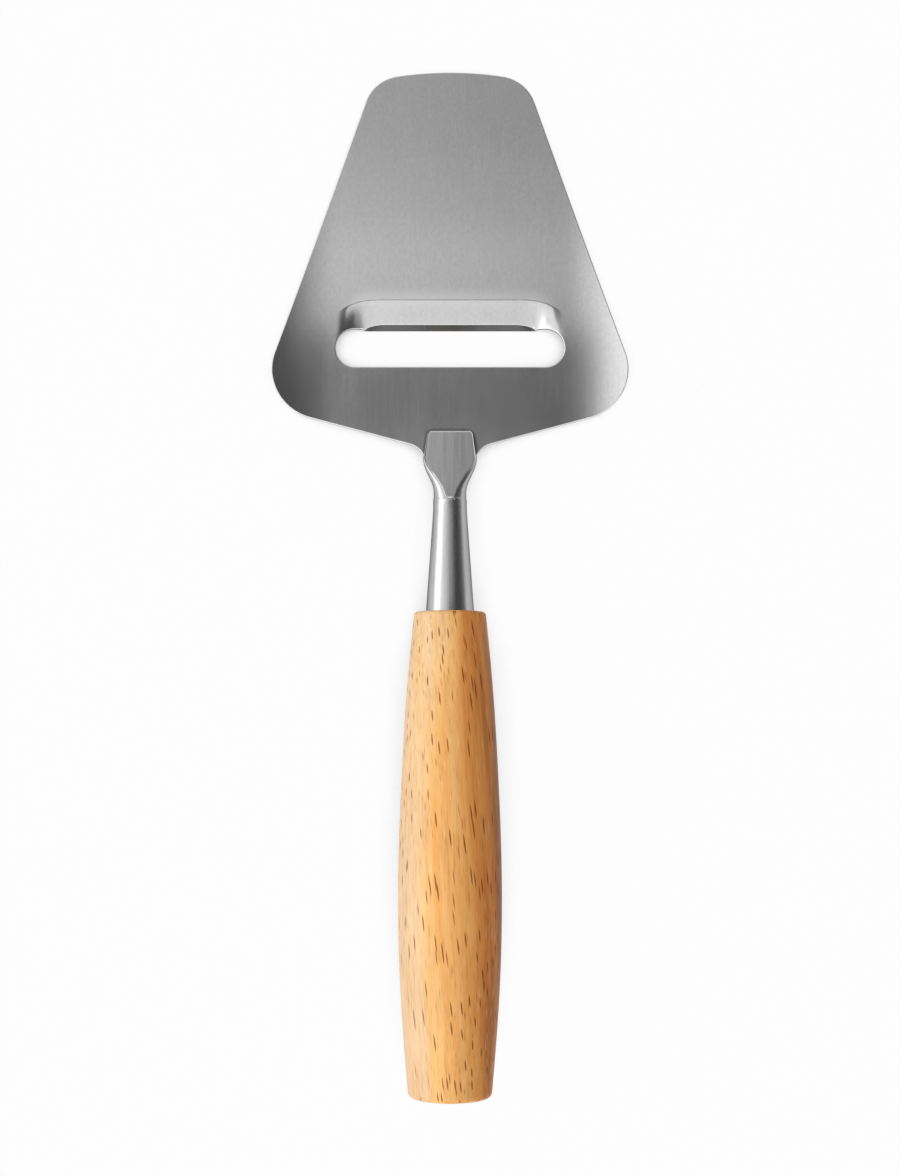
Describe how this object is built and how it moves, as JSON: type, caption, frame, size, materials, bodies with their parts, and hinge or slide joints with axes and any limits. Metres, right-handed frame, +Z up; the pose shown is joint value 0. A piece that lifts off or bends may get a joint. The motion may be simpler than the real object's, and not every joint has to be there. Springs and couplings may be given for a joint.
{
  "type": "cheese slicer",
  "caption": "Hand cheese slicer: a stamped steel blade with a slot and a pressed-down ground cutting lip, on a forged conical shank with a turned, bellied beech handle.",
  "frame": {"origin": "middle of the bottom of the bounding box, with the slicer lying on its cutting edge and on the belly of its handle", "axes": "+Y along the slicer towards the blade's tip, +Z up from the surface it lies on, out of the side that the slices come out on, +X across"},
  "size_m": [0.085, 0.2432, 0.0267],
  "materials": {
    "blade_steel": "satin, finely brushed lengthwise",
    "neck_steel": "satin, finely brushed lengthwise",
    "weld_metal": "as welded",
    "rod_steel": "bright drawn",
    "epoxy": "set glue",
    "beech": "oiled, fine sanded"
  },
  "bodies": {
    "root": {"blade_plate": "blade_steel", "neck": "neck_steel", "weld_nuggets": "weld_metal", "tang_rod": "rod_steel", "tang_adhesive": "epoxy", "handle": "beech"}
  },
  "joints": []
}
